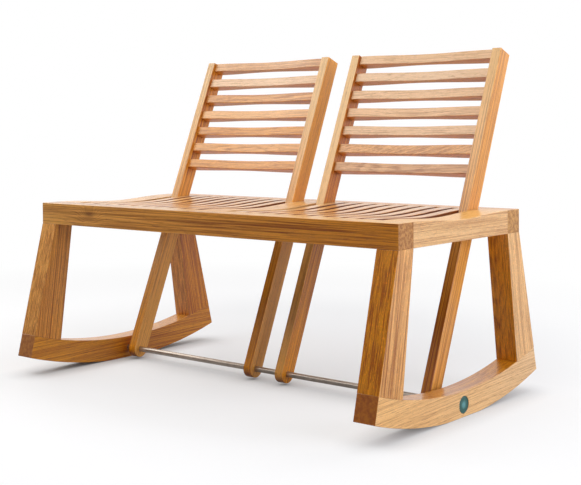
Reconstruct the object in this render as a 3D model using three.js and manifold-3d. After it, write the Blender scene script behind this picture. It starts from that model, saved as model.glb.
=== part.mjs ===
// A wide oak rocking bench with two slatted backs that tip over to face either way.
// Each back is a frame of two long stiles, which go down through slots in the seat to a steel rod
// between the rockers, and lean on the front or the rear rail of the seat.
// Millimetres. X runs along the seat, Y from front to rear and Z up. The rockers stand on Z = 0.
import * as THREE from "three";
import { mergeVertices } from "three/addons/utils/BufferGeometryUtils.js";
import Module from "manifold-3d";

const wasm = await Module();
wasm.setup();

// Seat frame
const benchWidth = 1150;
const frameDepth = 504;
const seatHeight = 446;
const railSection = 55;
const broadRailWidth = 77;
const slotWidth = 28;
const slatsPerHalf = 9;
const slatWidth = 29.5;
const slatThickness = 28;
const dishDepth = 8;
const dishReach = 190;
const dishSteps = 12;

// Legs and rockers
const legWidth = 55;
const legFootInnerReach = 239;
const rockerWidth = 55;
const rockerRadius = 1120;
const rockerThickness = 60;
const rockerReach = 337;
const rockerFlatReach = 70;
const arcSteps = 12;
const legArcSteps = 4;

// Backs
const stileWidth = 25;
const stileDepth = 45;
const stileLength = 865;
const backSlatCount = 7;
const backSlatHeight = 24.5;
const backSlatAboveSeat = 83.8;
const backSlatThickness = 29;
const backSlatScoop = 7;
const backSlatEndFlat = 6;
const scoopSteps = 10;
const stileEndSteps = 12;

// Rod and what holds it
const rodDiameter = 14;
const rodHeight = 27;
const rodShoulderSetback = 1;
const threadDiameter = 12;
const threadBeyondNut = 2;
const nutAcrossFlats = 19;
const nutThickness = 10;
const washerDiameter = 30;
const washerThickness = 2.5;
const capDiameter = 38.5;
const capThickness = 4;
const capRimWidth = 2.2;
const capRimHeight = 0.8;
const capRecess = 0.3;
const counterboreDepth = 20;
const holeMouthEase = 2;
const roundSides = 36;
const hexSides = 6;

// Joinery
const tenonThickness = 14;
const tenonLength = 13;
const tenonDrop = 15;
const tenonShoulder = 5;
const broadTenonShoulder = 9;
const legTenonWidth = 28;
const legTenonDepth = 26;
const legTopTenonHeight = 22;
const legFootTenonHeight = 20;
const backTenonLength = 12;
const backTenonThickness = 12;
const backTenonShoulder = 3;

// Clearances and edges
const glueLine = 0.25;
const runningClearance = 0.1;
const bearingGap = 0.3;
const overrun = 5;
const edgeEase = 1.2;

// Places that follow from the sizes above
const halfWidth = benchWidth / 2;
const halfDepth = frameDepth / 2;
const railInnerReach = halfDepth - railSection;
const railUnderside = seatHeight - railSection;
const railCentreReach = halfDepth - railSection / 2;
const arcCentreHeight = Math.sqrt(rockerRadius ** 2 - rockerFlatReach ** 2);
const legCentreX = halfWidth - legWidth / 2;
const rockerCentreX = halfWidth - rockerWidth / 2;
const outerSlotCentreX = halfWidth - broadRailWidth - slotWidth / 2;
const innerSlotCentreX = broadRailWidth / 2 + slotWidth / 2;
const slatFieldStart = innerSlotCentreX + slotWidth / 2;
const slatFieldWidth = outerSlotCentreX - slotWidth / 2 - slatFieldStart;
const slatPitch = (slatFieldWidth - slatWidth) / (slatsPerHalf - 1);
const barHalfLength = railInnerReach - glueLine;

const axisX = new THREE.Vector3(1, 0, 0);
const axisY = new THREE.Vector3(0, 1, 0);
const axisZ = new THREE.Vector3(0, 0, 1);

// Solids and booleans

function solidOf(geometry) {
  const bare = geometry.clone();
  bare.deleteAttribute("normal");
  bare.deleteAttribute("uv");
  const merged = mergeVertices(bare);
  const vertProperties = new Float32Array(merged.getAttribute("position").array);
  const triVerts = new Uint32Array(merged.index.array);
  return new wasm.Manifold(new wasm.Mesh({ numProp: 3, vertProperties, triVerts }));
}

function geometryOf(solid) {
  const mesh = solid.getMesh();
  const geometry = new THREE.BufferGeometry();
  geometry.setAttribute("position", new THREE.BufferAttribute(mesh.vertProperties, 3));
  geometry.setIndex(new THREE.BufferAttribute(mesh.triVerts, 1));
  return geometry;
}

function join(base, additions) {
  let solid = solidOf(base);
  for (const addition of additions) {
    solid = solid.add(solidOf(addition));
  }
  return geometryOf(solid);
}

function cut(base, cutters) {
  let solid = solidOf(base);
  for (const cutter of cutters) {
    solid = solid.subtract(solidOf(cutter));
  }
  return geometryOf(solid);
}

function block(width, depth, height, x, y, z) {
  return new THREE.BoxGeometry(width, depth, height).translate(x, y, z);
}

function cylinderAlongX(radius, length, x, sides = roundSides) {
  const geometry = new THREE.CylinderGeometry(radius, radius, length, sides);
  return geometry.rotateZ(-Math.PI / 2).translate(x, 0, 0);
}

// A profile of [radius, place along X] points, turned about the X axis.
function turnedAboutX(points) {
  const profile = points.map(([radius, along]) => new THREE.Vector2(radius, along));
  return new THREE.LatheGeometry(profile, roundSides).rotateZ(-Math.PI / 2);
}

function easedExtrusion(points, length) {
  const shape = new THREE.Shape(points.map(([across, up]) => new THREE.Vector2(across, up)));
  const depth = length - 2 * edgeEase;
  const options = {
    depth,
    steps: 1,
    bevelEnabled: true,
    bevelSegments: 1,
    bevelSize: edgeEase,
    bevelThickness: edgeEase,
    bevelOffset: -edgeEase,
  };
  return new THREE.ExtrudeGeometry(shape, options).translate(0, 0, -depth / 2);
}

// An outline of [y, z] points, drawn anticlockwise and extruded both ways along X.
function extrudedAlongX(points, width) {
  const turn = new THREE.Matrix4().makeBasis(axisY, axisZ, axisX);
  return easedExtrusion(points, width).applyMatrix4(turn);
}

function easedRectangle(width, height) {
  const right = width / 2;
  const top = height / 2;
  return [
    [right - edgeEase, -top],
    [right, edgeEase - top],
    [right, top - edgeEase],
    [right - edgeEase, top],
    [edgeEase - right, top],
    [-right, top - edgeEase],
    [-right, edgeEase - top],
    [edgeEase - right, -top],
  ];
}

// Front and rear rails: full width, mortised for the bars between them and for the legs

function barTenonWidth(barWidth, shoulder) {
  return barWidth - 2 * shoulder;
}

function mortiseForBar(x, barWidth, shoulder) {
  const width = barTenonWidth(barWidth, shoulder) + 2 * glueLine;
  const depth = tenonLength + glueLine + overrun;
  const y = railSection / 2 - tenonLength - glueLine + depth / 2;
  const height = tenonThickness + 2 * glueLine;
  return block(width, depth, height, x, y, railSection / 2 - tenonDrop);
}

function mortiseForLeg(side) {
  const width = legTenonWidth + 2 * glueLine;
  const depth = legTenonDepth + 2 * glueLine;
  const height = legTopTenonHeight + glueLine + overrun;
  const z = legTopTenonHeight + glueLine - height / 2 - railSection / 2;
  return block(width, depth, height, side * legCentreX, 0, z);
}

function slatPlaces() {
  const first = slatFieldStart + slatWidth / 2;
  return Array.from({ length: slatsPerHalf }, (_, index) => first + index * slatPitch);
}

function longRail() {
  const cutters = [mortiseForBar(0, broadRailWidth, broadTenonShoulder)];
  for (const side of [-1, 1]) {
    const broadRailX = side * (halfWidth - broadRailWidth / 2);
    cutters.push(mortiseForBar(broadRailX, broadRailWidth, broadTenonShoulder));
    cutters.push(mortiseForLeg(side));
    for (const place of slatPlaces()) {
      cutters.push(mortiseForBar(side * place, slatWidth, tenonShoulder));
    }
  }
  return cut(extrudedAlongX(easedRectangle(railSection, railSection), benchWidth), cutters);
}

// Bars from rail to rail: the broad rails and the seat slats share one dished top

function dishDrop(y) {
  return (dishDepth * (1 + Math.cos((Math.PI * y) / dishReach))) / 2;
}

function dishedBar(width, thickness, shoulder) {
  const outline = [
    [-barHalfLength, -thickness],
    [barHalfLength, -thickness],
    [barHalfLength, 0],
  ];
  for (let step = 0; step <= dishSteps; step += 1) {
    const y = dishReach - (2 * dishReach * step) / dishSteps;
    outline.push([y, -dishDrop(y)]);
  }
  outline.push([-barHalfLength, 0]);
  const tenonReach = railInnerReach + tenonLength;
  const tenon = block(barTenonWidth(width, shoulder), 2 * tenonReach, tenonThickness, 0, 0, -tenonDrop);
  return join(extrudedAlongX(outline, width), [tenon]);
}

// Legs and rockers: one slanted line runs down the leg and on across the rocker's end.
// A rocker's top is its underside arc raised by its thickness, so it is as thick upright all along.
// The middle of the underside is cut flat, wide enough that the bench stands level by itself.

function arcHeight(y, rise) {
  return arcCentreHeight + rise - Math.sqrt(rockerRadius ** 2 - y ** 2);
}

function slantThrough(topReach, topHeight, footReach, footHeight) {
  const run = (footReach - topReach) / (topHeight - footHeight);
  return { run, groundReach: topReach + run * topHeight };
}

const outerSlant = slantThrough(
  halfDepth,
  railUnderside,
  rockerReach,
  arcHeight(rockerReach, 0),
);
const innerSlant = slantThrough(
  railInnerReach,
  railUnderside,
  legFootInnerReach,
  arcHeight(legFootInnerReach, rockerThickness),
);

function reachOnSlant(slant, height) {
  return slant.groundReach - slant.run * height;
}

// Where a slanted line crosses the underside arc raised by a given rise, as a reach from the middle.
function slantMeetsArc(slant, rise) {
  const centreHeight = arcCentreHeight + rise;
  const a = slant.run ** 2 + 1;
  const b = slant.groundReach * slant.run + centreHeight;
  const c = slant.groundReach ** 2 + centreHeight ** 2 - rockerRadius ** 2;
  return reachOnSlant(slant, (b - Math.sqrt(b ** 2 - a * c)) / a);
}

function arcPoints(rise, fromY, toY, steps) {
  return Array.from({ length: steps + 1 }, (_, step) => {
    const y = fromY + ((toY - fromY) * step) / steps;
    return [y, arcHeight(y, rise)];
  });
}

const rockerTopReach = slantMeetsArc(outerSlant, rockerThickness);
const footCentreReach = (legFootInnerReach + rockerTopReach) / 2;
const footTenonBottom = arcHeight(footCentreReach, rockerThickness) - legFootTenonHeight;

// The rear leg, standing in place. The front legs are the same, turned about.
function leg() {
  const soleRise = rockerThickness + glueLine;
  const outerFoot = slantMeetsArc(outerSlant, soleRise);
  const innerFoot = slantMeetsArc(innerSlant, soleRise);
  const top = railUnderside - glueLine;
  const outline = [
    ...arcPoints(soleRise, innerFoot, outerFoot, legArcSteps),
    [reachOnSlant(outerSlant, top), top],
    [reachOnSlant(innerSlant, top), top],
  ];
  const topTenonHeight = legTopTenonHeight + overrun;
  const topTenonZ = railUnderside + legTopTenonHeight - topTenonHeight / 2;
  const topTenon = block(legTenonWidth, legTenonDepth, topTenonHeight, 0, railCentreReach, topTenonZ);
  const footTenonHeight = 2 * legFootTenonHeight;
  const footTenonZ = footTenonBottom + footTenonHeight / 2;
  const footTenon = block(legTenonWidth, legTenonDepth, footTenonHeight, 0, footCentreReach, footTenonZ);
  return join(extrudedAlongX(outline, legWidth), [topTenon, footTenon]);
}

function footMortise(end) {
  const width = legTenonWidth + 2 * glueLine;
  const depth = legTenonDepth + 2 * glueLine;
  const height = 2 * legFootTenonHeight;
  const z = footTenonBottom - glueLine + height / 2;
  return block(width, depth, height, 0, end * footCentreReach, z);
}

// The right rocker, with the rod's bore and the counterbore for nut and cap on its outer face.
function rocker() {
  const outline = [
    ...arcPoints(0, -rockerReach, -rockerFlatReach, arcSteps),
    ...arcPoints(0, rockerFlatReach, rockerReach, arcSteps),
    ...arcPoints(rockerThickness, rockerTopReach, -rockerTopReach, 2 * arcSteps),
  ];
  const bore = cylinderAlongX(rodDiameter / 2 + glueLine, rockerWidth + 2 * overrun, 0);
  const counterboreLength = counterboreDepth + overrun;
  const counterboreX = rockerWidth / 2 - counterboreDepth + counterboreLength / 2;
  const counterbore = cylinderAlongX(capDiameter / 2 + glueLine, counterboreLength, counterboreX);
  return cut(extrudedAlongX(outline, rockerWidth), [
    bore.translate(0, 0, rodHeight),
    counterbore.translate(0, 0, rodHeight),
    footMortise(-1),
    footMortise(1),
  ]);
}

// Backs, drawn upright with the rod's centre at the origin

const leanOfEdge = Math.atan2(railInnerReach, seatHeight - rodHeight);
const edgeDistance = Math.hypot(railInnerReach, seatHeight - rodHeight);
const lean = leanOfEdge - Math.asin((stileDepth / 2 + bearingGap) / edgeDistance);
const innerStileX = innerSlotCentreX;
const outerStileX = outerSlotCentreX;
const stileGap = outerStileX - innerStileX - stileWidth;
const backSlatLength = stileGap - 2 * glueLine;
const seatAlongStile = (seatHeight - rodHeight) / Math.cos(lean);

// Places along the stiles, from the top slat down to the one above the seat
function backSlatPlaces() {
  const top = stileLength - backSlatHeight / 2;
  const bottom = seatAlongStile + backSlatAboveSeat + backSlatHeight / 2;
  const pitch = (top - bottom) / (backSlatCount - 1);
  return Array.from({ length: backSlatCount }, (_, index) => top - index * pitch);
}

function backTenonHeight() {
  return backSlatHeight - 2 * backTenonShoulder;
}

function boreWithEasedMouths() {
  const radius = rodDiameter / 2 + runningClearance;
  const mouth = stileWidth / 2;
  return turnedAboutX([
    [0, -mouth - overrun],
    [radius + holeMouthEase + overrun, -mouth - overrun],
    [radius, holeMouthEase - mouth],
    [radius, mouth - holeMouthEase],
    [radius + holeMouthEase + overrun, mouth + overrun],
    [0, mouth + overrun],
  ]);
}

function stile() {
  const reach = stileDepth / 2;
  const outline = Array.from({ length: stileEndSteps + 1 }, (_, step) => {
    const angle = -Math.PI + (Math.PI * step) / stileEndSteps;
    return [reach * Math.cos(angle), reach * Math.sin(angle)];
  });
  outline.push([reach, stileLength - edgeEase]);
  outline.push([reach - edgeEase, stileLength]);
  outline.push([edgeEase - reach, stileLength]);
  outline.push([-reach, stileLength - edgeEase]);
  const cutters = [boreWithEasedMouths()];
  const mortiseDepth = backTenonLength + glueLine + overrun;
  const mortiseX = stileWidth / 2 - backTenonLength - glueLine + mortiseDepth / 2;
  const thickness = backTenonThickness + 2 * glueLine;
  const height = backTenonHeight() + 2 * glueLine;
  for (const place of backSlatPlaces()) {
    cutters.push(block(mortiseDepth, thickness, height, mortiseX, 0, place));
  }
  return cut(extrudedAlongX(outline, stileWidth), cutters);
}

function scoopDrop(x) {
  const reach = backSlatLength / 2 - backSlatEndFlat;
  return (backSlatScoop * (1 + Math.cos((Math.PI * x) / reach))) / 2;
}

function backSlat() {
  const end = backSlatLength / 2;
  const scoopReach = end - backSlatEndFlat;
  const face = backSlatThickness / 2;
  const outline = [];
  for (const side of [-1, 1]) {
    outline.push([side * end, side * face]);
    for (let step = 0; step <= scoopSteps; step += 1) {
      const x = scoopReach - (2 * scoopReach * step) / scoopSteps;
      outline.push([side * x, side * (face - scoopDrop(x))]);
    }
    outline.push([-side * end, side * face]);
  }
  const tenonSpan = stileGap + 2 * backTenonLength;
  const tenon = block(tenonSpan, backTenonThickness, backTenonHeight(), 0, 0, 0);
  return join(easedExtrusion(outline, backSlatHeight), [tenon]);
}

// Rod, its nuts and washers, and the caps that cover them

const counterboreFloor = halfWidth - counterboreDepth;
const nutFace = counterboreFloor + glueLine + washerThickness + glueLine;

function pivotRod() {
  const bodyLength = 2 * (counterboreFloor - rodShoulderSetback);
  const threadedLength = 2 * (nutFace + nutThickness + threadBeyondNut);
  const body = cylinderAlongX(rodDiameter / 2, bodyLength, 0);
  return join(body, [cylinderAlongX(threadDiameter / 2, threadedLength, 0)]);
}

function ringAlongX(outerRadius, sides, thickness) {
  const hole = cylinderAlongX(threadDiameter / 2 + glueLine, thickness + 2 * overrun, 0);
  return cut(cylinderAlongX(outerRadius, thickness, 0, sides), [hole]);
}

function cap() {
  const radius = capDiameter / 2;
  const floor = radius - capRimWidth;
  return turnedAboutX([
    [0, -capThickness],
    [radius - capRimHeight, -capThickness],
    [radius, capRimHeight - capThickness],
    [radius, -capRimHeight],
    [radius - capRimHeight, 0],
    [floor + capRimHeight, 0],
    [floor, -capRimHeight],
    [0, -capRimHeight],
  ]);
}

// Materials

function oak() {
  return new THREE.MeshStandardMaterial({ color: 0xc98f55, roughness: 0.45, metalness: 0 });
}

function steel() {
  return new THREE.MeshStandardMaterial({ color: 0x8e8880, roughness: 0.35, metalness: 1 });
}

function tealPlastic() {
  return new THREE.MeshStandardMaterial({ color: 0x2f7f7a, roughness: 0.4, metalness: 0 });
}

// Assembly

const bench = new THREE.Group();
const turnedAbout = Math.PI;

function place(parent, name, geometry, material, position, turn = 0) {
  const mesh = new THREE.Mesh(geometry, material);
  mesh.name = name;
  mesh.position.set(...position);
  mesh.rotation.z = turn;
  parent.add(mesh);
}

function addSeat() {
  const railHeight = seatHeight - railSection / 2;
  place(bench, "front_rail", longRail(), oak(), [0, -railCentreReach, railHeight]);
  place(bench, "rear_rail", longRail(), oak(), [0, railCentreReach, railHeight], turnedAbout);
  const broadRail = dishedBar(broadRailWidth, railSection, broadTenonShoulder);
  const broadRailX = halfWidth - broadRailWidth / 2;
  place(bench, "left_rail", broadRail, oak(), [-broadRailX, 0, seatHeight]);
  place(bench, "centre_rail", broadRail, oak(), [0, 0, seatHeight]);
  place(bench, "right_rail", broadRail, oak(), [broadRailX, 0, seatHeight]);
  const slat = dishedBar(slatWidth, slatThickness, tenonShoulder);
  slatPlaces().forEach((x, index) => {
    place(bench, `seat_slat_left_${index + 1}`, slat, oak(), [-x, 0, seatHeight]);
    place(bench, `seat_slat_right_${index + 1}`, slat, oak(), [x, 0, seatHeight]);
  });
}

function addLegsAndRockers() {
  const legShape = leg();
  const rockerShape = rocker();
  for (const [word, side] of [["left", -1], ["right", 1]]) {
    const turn = side > 0 ? 0 : turnedAbout;
    place(bench, `leg_front_${word}`, legShape, oak(), [side * legCentreX, 0, 0], turnedAbout);
    place(bench, `leg_rear_${word}`, legShape, oak(), [side * legCentreX, 0, 0]);
    place(bench, `rocker_${word}`, rockerShape, oak(), [side * rockerCentreX, 0, 0], turn);
  }
}

function addRod() {
  place(bench, "pivot_rod", pivotRod(), steel(), [0, 0, rodHeight]);
  const washer = ringAlongX(washerDiameter / 2, roundSides, washerThickness);
  const nutRadius = nutAcrossFlats / 2 / Math.cos(Math.PI / hexSides);
  const nut = ringAlongX(nutRadius, hexSides, nutThickness);
  const washerX = counterboreFloor + glueLine + washerThickness / 2;
  const nutX = nutFace + nutThickness / 2;
  const capX = halfWidth - capRecess;
  for (const [word, side] of [["left", -1], ["right", 1]]) {
    const turn = side > 0 ? 0 : turnedAbout;
    place(bench, `rod_washer_${word}`, washer, steel(), [side * washerX, 0, rodHeight]);
    place(bench, `rod_nut_${word}`, nut, steel(), [side * nutX, 0, rodHeight]);
    place(bench, `cap_${word}`, cap(), tealPlastic(), [side * capX, 0, rodHeight], turn);
  }
}

function addBack(word, side) {
  const back = new THREE.Group();
  back.position.z = rodHeight;
  back.rotation.x = -lean;
  bench.add(back);
  const stileShape = stile();
  const slatShape = backSlat();
  const innerTurn = side > 0 ? 0 : turnedAbout;
  const outerTurn = turnedAbout - innerTurn;
  place(back, `back_${word}_stile_inner`, stileShape, oak(), [side * innerStileX, 0, 0], innerTurn);
  place(back, `back_${word}_stile_outer`, stileShape, oak(), [side * outerStileX, 0, 0], outerTurn);
  const middleX = (side * (innerStileX + outerStileX)) / 2;
  backSlatPlaces().forEach((z, index) => {
    place(back, `back_${word}_slat_${index + 1}`, slatShape, oak(), [middleX, 0, z]);
  });
}

addSeat();
addLegsAndRockers();
addRod();
addBack("left", -1);
addBack("right", 1);

// The origin lies on the floor, under the middle of the whole bench from rocker tip to back.
const cornerReach = (stileLength - edgeEase) * Math.sin(lean);
const backReach = cornerReach + (stileDepth / 2) * Math.cos(lean);
bench.position.y = (rockerReach - backReach) / 2;

const part = new THREE.Group();
part.add(bench);

export default part;
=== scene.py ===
import math
import random
from functools import partial

import bmesh
import bpy
from mathutils import Matrix, Vector


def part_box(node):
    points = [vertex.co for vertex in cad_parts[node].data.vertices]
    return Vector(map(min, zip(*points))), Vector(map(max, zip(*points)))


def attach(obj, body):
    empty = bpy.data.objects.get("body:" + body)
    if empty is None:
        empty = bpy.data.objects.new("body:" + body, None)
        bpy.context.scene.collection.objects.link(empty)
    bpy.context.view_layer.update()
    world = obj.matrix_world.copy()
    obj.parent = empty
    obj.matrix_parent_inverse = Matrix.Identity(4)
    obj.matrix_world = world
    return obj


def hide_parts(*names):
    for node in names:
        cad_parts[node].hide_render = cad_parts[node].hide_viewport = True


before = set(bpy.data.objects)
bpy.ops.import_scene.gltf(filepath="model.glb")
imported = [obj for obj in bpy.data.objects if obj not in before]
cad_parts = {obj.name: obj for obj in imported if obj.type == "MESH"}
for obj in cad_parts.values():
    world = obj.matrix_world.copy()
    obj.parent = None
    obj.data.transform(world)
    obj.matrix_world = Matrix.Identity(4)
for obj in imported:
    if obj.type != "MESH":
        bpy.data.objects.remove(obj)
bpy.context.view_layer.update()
print("frame loaded with", len(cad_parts), "solids")

# Lengths are in metres. The bench is drawn about the middle of its rockers, and moved to the
# place that the solids have.
rockerLow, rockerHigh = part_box("rocker_right")
middleY = (rockerLow.y + rockerHigh.y) / 2
glueLine = 0.00012
touching = 1e-5       # points that are nearer than this lie in one plane
sharpAngle = 0.6      # edges that turn by more than this, in radians, are rounded
slatEdge = 0.0014     # radius of the slats' edges
edgeSteps = 3
roundSides = 72

seat = {
    "height": 0.446,
    "halfWidth": 0.575,
    "halfDepth": 0.252,
    "rail": 0.055,
    "broadRail": 0.077,
    "dishDepth": 0.008,
    "dishReach": 0.190,
    "edge": 0.0011,      # radius of the sanded edges
    "jointEdge": 0.25,   # share of it where two boards are glued together
}
innerReach = seat["halfDepth"] - seat["rail"]
underRail = seat["height"] - seat["rail"]


# Mesh helpers

def addObject(name, mesh):
    piece = bpy.data.objects.new(name, mesh)
    bpy.context.scene.collection.objects.link(piece)
    return piece


def meshFrom(name, points, faces):
    mesh = bpy.data.meshes.new(name)
    mesh.from_pydata(points, [], faces)
    build = bmesh.new()
    build.from_mesh(mesh)
    bmesh.ops.recalc_face_normals(build, faces=build.faces)
    build.to_mesh(mesh)
    build.free()
    mesh.shade_smooth()
    return addObject(name, mesh)


def drawnOut(name, outline, fromX, toX):
    # A closed outline of (y, z) points, drawn out along X
    count = len(outline)
    points = [(x, y, z) for x in (fromX, toX) for y, z in outline]
    faces = [tuple(range(count)), tuple(range(2 * count - 1, count - 1, -1))]
    for i in range(count):
        j = (i + 1) % count
        faces.append((i, j, count + j, count + i))
    return meshFrom(name, points, faces)


def turnedOnRod(name, profile, sides=roundSides):
    # A profile of (place along X, radius) points, from one end on the rod's axis to the other
    points, faces, rings = [], [], []
    for x, radius in profile:
        count = sides if radius else 1
        rings.append(list(range(len(points), len(points) + count)))
        for k in range(count):
            angle = 2 * math.pi * k / sides
            y = middleY + radius * math.cos(angle)
            points.append((x, y, backs["rodHeight"] + radius * math.sin(angle)))
    for a, b in zip(rings, rings[1:]):
        for k in range(sides):
            j = (k + 1) % sides
            corners = (a[k % len(a)], a[j % len(a)], b[j % len(b)], b[k % len(b)])
            faces.append(tuple(dict.fromkeys(corners)))
    return flatShaded(meshFrom(name, points, faces))


def settled(piece):
    # The evaluated result as a plain mesh, without its modifiers
    graph = bpy.context.evaluated_depsgraph_get()
    mesh = bpy.data.meshes.new_from_object(piece.evaluated_get(graph), depsgraph=graph)
    piece.modifiers.clear()
    piece.data = mesh
    return piece


def flatShaded(piece, keepSharp=False):
    # Normals that leave the large faces flat beside their rounded edges
    normals = piece.modifiers.new("flatFaces", "WEIGHTED_NORMAL")
    normals.weight = 100
    normals.keep_sharp = keepSharp
    return settled(piece)


def near(a, b):
    return abs(a - b) < touching


def eased(piece, edge, joint=None):
    # Rounds the sharp edges. joint tells which points lie in a glued joint: edges there stay crisp.
    if joint:
        build = bmesh.new()
        build.from_mesh(piece.data)
        weight = build.edges.layers.float.new("bevel_weight_edge")
        for line in build.edges:
            if line.calc_face_angle(0) > sharpAngle:
                crisp = all(joint(vertex.co) for vertex in line.verts)
                line[weight] = seat["jointEdge"] if crisp else 1.0
        build.to_mesh(piece.data)
        build.free()
    bevel = piece.modifiers.new("easedEdges", "BEVEL")
    bevel.width = edge
    bevel.segments = edgeSteps
    bevel.limit_method = "WEIGHT" if joint else "ANGLE"
    bevel.angle_limit = sharpAngle
    bevel.use_clamp_overlap = False
    return flatShaded(piece, keepSharp=True)


# Each board is sawn from a log. Its grain attribute is the place in that log, in metres: along
# the log, and across it from the pith, so that rings, figure and end grain agree on all faces.
# The rows of boards below give pith, start, tone, depth, toneRun and depthRun, in that order.

endGrain = {"from": 0.35, "span": 0.5}      # how square to the log a cut has to be to show it
sidePower = 6                               # how fast an edge passes from side to side in tone
logs = {"nearest": 0.05, "spread": 0.10, "length": 40, "tone": 0.6, "depthByTone": -0.12}


def board(centre, along, pith, start, tone, depth, toneRun=(0, 0, 0), depthRun=(0, 0, 0)):
    # Tone and depth are those of its X, Y and Z faces at its middle. The runs are how much they
    # grow for each metre along it.
    # The per-side values carry painted light and shade besides the wood's own tone: sides that the
    # lamps light are paler, shaded sides tan and darker. Where they are set, the runs paint light
    # and shade that change along a piece.
    along = Vector(along).normalized()
    toPith = Vector(pith)
    toPith -= along * toPith.dot(along)
    across = -toPith.normalized()
    return {
        "centre": Vector(centre),
        "pith": Vector(centre) + toPith,
        "axes": Matrix((along, across, along.cross(across))),
        "along": along,
        "start": start,
        "tone": Vector(tone),
        "depth": Vector(depth),
        "toneRun": Vector(toneRun),
        "depthRun": Vector(depthRun),
    }


def sawFrom(piece, boards):
    mesh = piece.data
    planks = [0] * len(mesh.vertices)
    if "plank" in mesh.attributes:
        planks = [value.value for value in mesh.attributes["plank"].data]
        mesh.attributes.remove(mesh.attributes["plank"])
    grain = []
    for vertex, plank in zip(mesh.vertices, planks):
        chosen = boards[plank]
        place = chosen["axes"] @ (vertex.co - chosen["pith"])
        place.x += chosen["start"]
        grain.extend(place)
    mesh.attributes.new("grain", "FLOAT_VECTOR", "POINT").data.foreach_set("vector", grain)
    looks, ends = {"tone": [], "depth": []}, []
    for face in mesh.polygons:
        chosen = boards[planks[face.vertices[0]]]
        share = Vector([part ** sidePower for part in face.normal])
        share /= sum(share)
        square = abs(face.normal.dot(chosen["along"]))
        ends.append(min(1.0, max(0.0, (square - endGrain["from"]) / endGrain["span"])))
        for corner in face.vertices:
            run = chosen["along"].dot(mesh.vertices[corner].co - chosen["centre"])
            for name, values in looks.items():
                values.append((chosen[name] + chosen[name + "Run"] * run).dot(share))
    for name, values in looks.items():
        mesh.attributes.new(name, "FLOAT", "CORNER").data.foreach_set("value", values)
    mesh.attributes.new("endGrain", "FLOAT", "FACE").data.foreach_set("value", ends)


def randomBoard(centre, along, pick):
    # Any piece of a log: the pith lies somewhere round it, well outside the board
    along = Vector(along).normalized()
    side = along.orthogonal().normalized()
    side.rotate(Matrix.Rotation(pick.uniform(0, 2 * math.pi), 3, along))
    pith = side * pick.uniform(logs["nearest"], logs["nearest"] + logs["spread"])
    start, tone = pick.uniform(0, logs["length"]), pick.uniform(-logs["tone"], logs["tone"])
    return board(centre, along, pith, start, [tone] * 3, [logs["depthByTone"] * tone] * 3)


# Node helpers

def addNode(tree, kind, inputs=None, **settings):
    node = tree.nodes.new(kind)
    for key, value in settings.items():
        setattr(node, key, value)
    for key, value in (inputs or {}).items():
        if isinstance(value, bpy.types.NodeSocket):
            tree.links.new(value, node.inputs[key])
        else:
            node.inputs[key].default_value = value
    return node


def maths(tree, operation, *values, clamp=False):
    inputs = dict(enumerate(values))
    return addNode(tree, "ShaderNodeMath", inputs, operation=operation, use_clamp=clamp).outputs[0]


def vectorMaths(tree, operation, *values):
    inputs = dict(enumerate(values))
    outputs = addNode(tree, "ShaderNodeVectorMath", inputs, operation=operation).outputs
    return outputs["Value" if operation in ("LENGTH", "DISTANCE", "DOT_PRODUCT") else "Vector"]


def combine(tree, x=0.0, y=0.0, z=0.0):
    return addNode(tree, "ShaderNodeCombineXYZ", {0: x, 1: y, 2: z}).outputs[0]


def noiseOf(tree, place, scale, detail, roughness=0.5):
    inputs = {"Vector": place, "Scale": scale, "Detail": detail, "Roughness": roughness}
    return addNode(tree, "ShaderNodeTexNoise", inputs).outputs[0]


def between(tree, value, low, high, first=0.0, last=1.0):
    # Passes softly from first to last while value goes from low to high
    inputs = {0: value, 1: low, 2: high, 3: first, 4: last}
    return addNode(tree, "ShaderNodeMapRange", inputs, interpolation_type="SMOOTHSTEP").outputs[0]


def blend(tree, share, a, b, kind="MIX"):
    inputs = {0: share, 6: a, 7: b}
    return addNode(tree, "ShaderNodeMix", inputs, data_type="RGBA", blend_type=kind).outputs[2]


def shortNames(tree):
    # For one tree: any node, any sum, a product, a product plus a term, and a vector
    return (partial(addNode, tree), partial(maths, tree), partial(maths, tree, "MULTIPLY"),
            partial(maths, tree, "MULTIPLY_ADD"), partial(combine, tree))


def newTree(name, kind, inputs, outputs):
    tree = bpy.data.node_groups.new(name, kind)
    for direction, sockets in (("INPUT", inputs), ("OUTPUT", outputs)):
        for label, (socketKind, value) in sockets.items():
            socketKind = "NodeSocket" + socketKind
            socket = tree.interface.new_socket(label, in_out=direction, socket_type=socketKind)
            if value is not None:
                socket.default_value = value
    start = tree.nodes.new("NodeGroupInput").outputs
    end = tree.nodes.new("NodeGroupOutput").inputs
    return tree, start, end


def newMaterial(name):
    material = bpy.data.materials.new(name)
    material.use_nodes = True
    material.node_tree.nodes.clear()
    return material, material.node_tree


def endMaterial(tree, colour, rough, height, strength, depth, **more):
    bump = addNode(tree, "ShaderNodeBump", {
        "Height": height, "Strength": strength, "Distance": depth,
    })
    shader = addNode(tree, "ShaderNodeBsdfPrincipled", {
        "Base Color": colour, "Roughness": rough, "Normal": bump.outputs[0], **more,
    })
    addNode(tree, "ShaderNodeOutputMaterial", {0: shader.outputs[0]})


# Helpers for the shapes that Geometry Nodes makes

def newShapeTree(name, settings):
    # Every setting is an input of the tree
    kinds = {int: "Int", float: "Float"}
    inputs = {label: (kinds[type(value)], value) for label, value in settings.items()}
    inputs["Wood"] = ("Material", None)
    return newTree(name, "GeometryNodeTree", inputs, {"Geometry": ("Geometry", None)})


def barOf(tree, size, **steps):
    # A bar about the origin, with cuts across the axis that steps names, and its points' places
    counts = {"Vertices " + axis: steps.get(axis, 2) for axis in "XYZ"}
    bar = addNode(tree, "GeometryNodeMeshCube", {"Size": combine(tree, *size), **counts})
    place = tree.nodes.new("GeometryNodeInputPosition").outputs[0]
    return bar.outputs["Mesh"], addNode(tree, "ShaderNodeSeparateXYZ", {0: place}).outputs


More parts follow.
